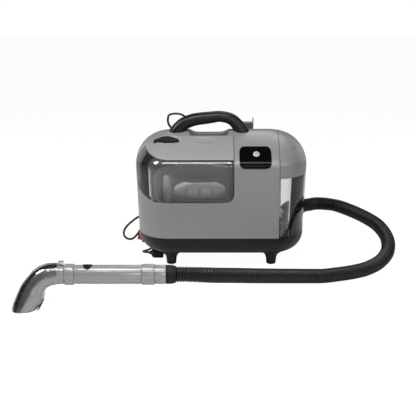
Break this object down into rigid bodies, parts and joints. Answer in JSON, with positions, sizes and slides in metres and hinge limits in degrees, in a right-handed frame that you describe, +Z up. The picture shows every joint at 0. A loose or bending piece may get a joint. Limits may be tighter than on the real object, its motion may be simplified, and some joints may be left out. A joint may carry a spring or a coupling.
{
  "type": "portable carpet cleaner",
  "caption": "Portable spot carpet cleaner: grey two-tank machine with carry handle, corrugated suction hose and a hand tool with a clear nozzle.",
  "frame": {"origin": "on the floor under the middle of the box around the machine and the hand tool, without the hose and the mains cord", "axes": "+X to the right as the control panel is read, along the hand tool; +Y to the back of the machine; +Z up"},
  "size_m": [0.874, 0.6047, 0.3665],
  "materials": {
    "casing_grey": "satin moulded plastic",
    "lid_grey": "satin moulded plastic, a little lighter",
    "black_plastic": "fine-textured black plastic",
    "black_rubber": "dull rubber",
    "gloss_black": "polished black plastic",
    "smoked_clear": "smoked transparent plastic",
    "clear": "clear transparent plastic",
    "silver": "silver-painted plastic",
    "red": "red plastic",
    "steel": "plain steel",
    "copper": "cast light alloy",
    "foam": "open foam",
    "board_green": "circuit board",
    "milky": "natural plastic"
  },
  "bodies": {
    "machine": {"front_casing": "casing_grey", "rear_casing": "casing_grey", "tool_bracket": "casing_grey", "wand_tail_tube": "casing_grey", "rear_collar": "casing_grey", "wand_tube": "casing_grey", "front_collar": "casing_grey", "base_tray": "black_plastic", "carry_handle": "black_plastic", "switch_bezel": "black_plastic", "fan_housing": "black_plastic", "suction_duct": "black_plastic", "water_pump": "black_plastic", "cord_hook_upper": "black_plastic", "cord_hook_lower": "black_plastic", "hose_elbow": "black_plastic", "spray_valve": "black_plastic", "foot_pad_front_left": "black_rubber", "foot_pad_front_right": "black_rubber", "foot_pad_rear_left": "black_rubber", "foot_pad_rear_right": "black_rubber", "motor_mount": "black_rubber", "hose_cuff": "black_rubber", "hose": "black_rubber", "cord_coil": "black_rubber", "cord_gland": "black_rubber", "mains_lead": "black_rubber", "cord_tail": "black_rubber", "mains_plug": "black_rubber", "wand_cuff": "black_rubber", "control_panel": "gloss_black", "vacuum_motor": "steel", "case_screw_low_left": "steel", "case_screw_low_right": "steel", "case_screw_high_left": "steel", "case_screw_high_right": "steel", "trigger_spring": "steel", "exhaust_filter": "foam", "circuit_board": "board_green", "pump_inlet_tube": "milky", "pump_outlet_tube": "milky"},
    "dirty_tank": {"dirty_tank": "smoked_clear", "riser_tube": "milky", "strainer_basket": "milky"},
    "tank_lid": {"dirty_tank_lid": "lid_grey"},
    "stopper": {"tank_stopper": "black_rubber"},
    "float": {"float": "foam"},
    "clean_tank": {"clean_tank": "clear", "clean_tank_valve": "milky"},
    "clean_cap": {"clean_tank_cap": "casing_grey"},
    "button": {"power_button": "silver"},
    "rocker": {"rocker_switch": "red"},
    "impeller": {"fan_impeller": "copper"},
    "trigger": {"spray_trigger": "black_plastic"},
    "nozzle": {"nozzle_body": "casing_grey", "nozzle_cover": "clear", "squeegee_lip": "black_rubber", "spray_tip": "black_plastic"},
    "latch": {"nozzle_latch": "black_plastic"}
  },
  "joints": [
    {"name": "dirty_tank_lift", "type": "slide", "parent": "machine", "child": "dirty_tank", "axis": [0, 0, 1], "range_m": [0, 0.16]},
    {"name": "tank_lid_lift", "type": "slide", "parent": "dirty_tank", "child": "tank_lid", "axis": [0, 0, 1], "range_m": [0, 0.05]},
    {"name": "stopper_hinge", "type": "hinge", "parent": "tank_lid", "child": "stopper", "pos_m": [-0.0475, 0.0981, 0.287], "axis": [0, -1, 0], "range_deg": [0, 80]},
    {"name": "float_rise", "type": "slide", "parent": "dirty_tank", "child": "float", "axis": [0, 0, 1], "range_m": [0, 0.012]},
    {"name": "clean_tank_lift", "type": "slide", "parent": "machine", "child": "clean_tank", "axis": [0, 0, 1], "range_m": [0, 0.18]},
    {"name": "clean_cap_lift", "type": "slide", "parent": "clean_tank", "child": "clean_cap", "axis": [0, 0, 1], "range_m": [0, 0.05]},
    {"name": "power_press", "type": "slide", "parent": "machine", "child": "button", "axis": [0, 0.6219, -0.7831], "range_m": [0, 0.0014], "stiffness_N_per_m": 400, "springref_m": -0.002},
    {"name": "rocker_tilt", "type": "hinge", "parent": "machine", "child": "rocker", "pos_m": [-0.0795, 0.1721, 0.048], "axis": [0, -1, 0], "range_deg": [0, 8]},
    {"name": "impeller_spin", "type": "hinge", "parent": "machine", "child": "impeller", "pos_m": [0.183, 0.1921, 0.14], "axis": [0, 0, 1], "continuous": true},
    {"name": "trigger_press", "type": "slide", "parent": "machine", "child": "trigger", "axis": [0, 0, -1], "range_m": [0, 0.0038], "stiffness_N_per_m": 300, "springref_m": -0.004, "deforming": ["trigger_spring"]},
    {"name": "nozzle_pull", "type": "slide", "parent": "machine", "child": "nozzle", "axis": [-1, 0, 0], "range_m": [0, 0.05]},
    {"name": "latch_press", "type": "slide", "parent": "nozzle", "child": "latch", "axis": [0, 0, -1], "range_m": [0, 0.0014], "stiffness_N_per_m": 400, "springref_m": -0.002}
  ]
}
